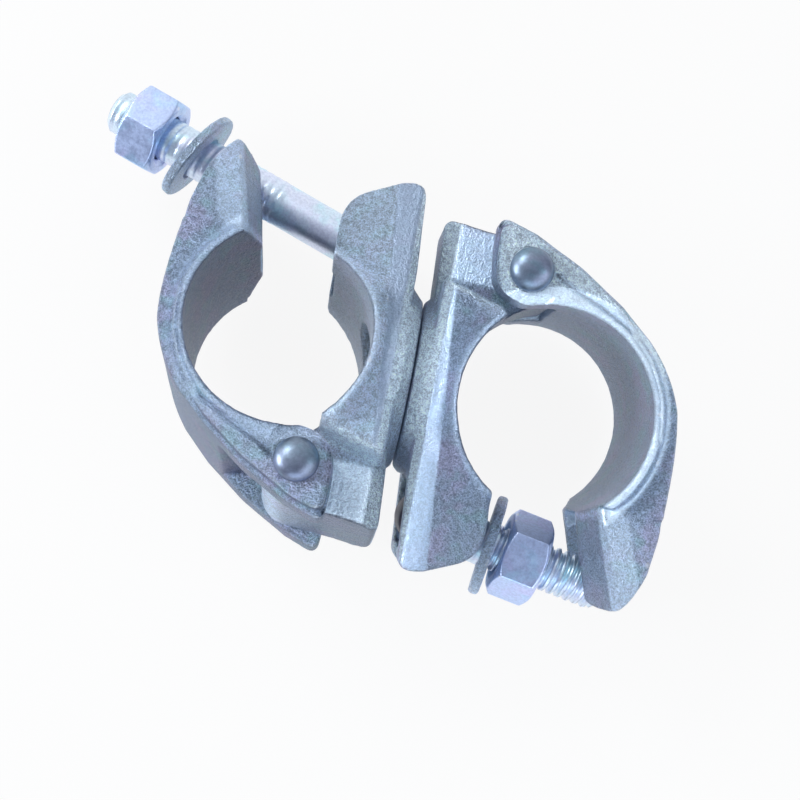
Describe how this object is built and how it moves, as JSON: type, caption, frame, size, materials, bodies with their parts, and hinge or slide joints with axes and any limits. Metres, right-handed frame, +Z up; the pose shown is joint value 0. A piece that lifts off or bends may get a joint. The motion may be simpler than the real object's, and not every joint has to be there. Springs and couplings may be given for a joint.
{
  "type": "scaffold swivel coupler",
  "caption": "Drop-forged galvanised swivel coupler: hinged tube clamps riveted back to back, each closed by a swing-out T-bolt with washer and nut.",
  "frame": {"origin": "under the middle of the part's box, on the surface that it lies on", "axes": "+X along the swivel axis from half A to half B, +Z up, near the tube axes; half A's tube axis leans 7.4 degrees towards +Y and half B's the same towards -Y"},
  "size_m": [0.1488, 0.1106, 0.0564],
  "materials": {
    "forged_galvanised": "hot-dip galvanised drop forging with a fine sandy grain and smooth trimmed flash bands",
    "rivet_steel": "smooth formed rivet heads, galvanised and slightly darker",
    "plated_fastener": "bright zinc plating with a faint blue tint, smooth shank and rolled thread"
  },
  "bodies": {
    "base_a": {"body_a": "forged_galvanised", "hinge_rivet_a": "rivet_steel", "swivel_rivet": "rivet_steel"},
    "base_b": {"body_b": "forged_galvanised", "hinge_rivet_b": "rivet_steel"},
    "flap_a": {"flap_a": "forged_galvanised"},
    "flap_b": {"flap_b": "forged_galvanised"},
    "bolt_a": {"t_bolt_a": "plated_fastener"},
    "bolt_b": {"t_bolt_b": "plated_fastener"},
    "washer_a": {"washer_a": "plated_fastener"},
    "washer_b": {"washer_b": "plated_fastener"},
    "nut_a": {"nut_a": "plated_fastener"},
    "nut_b": {"nut_b": "plated_fastener"}
  },
  "joints": [
    {"name": "swivel", "type": "hinge", "parent": "base_a", "child": "base_b", "pos_m": [0.0117, -0.00844, 0.02682], "axis": [1, 0, 0], "continuous": true},
    {"name": "flap_a_hinge", "type": "hinge", "parent": "base_a", "child": "flap_a", "pos_m": [-0.0101, -0.03769, 0.03064], "axis": [0, 0.1296, 0.9916], "range_deg": [-6, 82]},
    {"name": "flap_b_hinge", "type": "hinge", "parent": "base_b", "child": "flap_b", "pos_m": [0.0335, 0.02081, 0.03064], "axis": [0, -0.1296, 0.9916], "range_deg": [-4, 80]},
    {"name": "bolt_a_swing", "type": "hinge", "parent": "base_a", "child": "bolt_a", "pos_m": [0.0017, 0.02061, 0.02302], "axis": [0, -0.1296, -0.9916], "range_deg": [-6, 75]},
    {"name": "bolt_b_swing", "type": "hinge", "parent": "base_b", "child": "bolt_b", "pos_m": [0.0217, -0.03938, 0.02277], "axis": [0, 0.1296, -0.9916], "range_deg": [-6, 80]},
    {"name": "washer_a_slide", "type": "slide", "parent": "bolt_a", "child": "washer_a", "axis": [-0.9394, 0.34, -0.0445], "range_m": [-0.004, 0.0044]},
    {"name": "nut_a_run", "type": "slide", "parent": "bolt_a", "child": "nut_a", "axis": [-0.9394, 0.34, -0.0445], "range_m": [-0.0045, 0.005]},
    {"name": "washer_b_slide", "type": "slide", "parent": "bolt_b", "child": "washer_b", "axis": [0.9833, -0.1804, -0.0236], "range_m": [-0.0004, 0.0006]},
    {"name": "nut_b_run", "type": "slide", "parent": "bolt_b", "child": "nut_b", "axis": [0.9833, -0.1804, -0.0236], "range_m": [-0.0006, 0.006]}
  ]
}
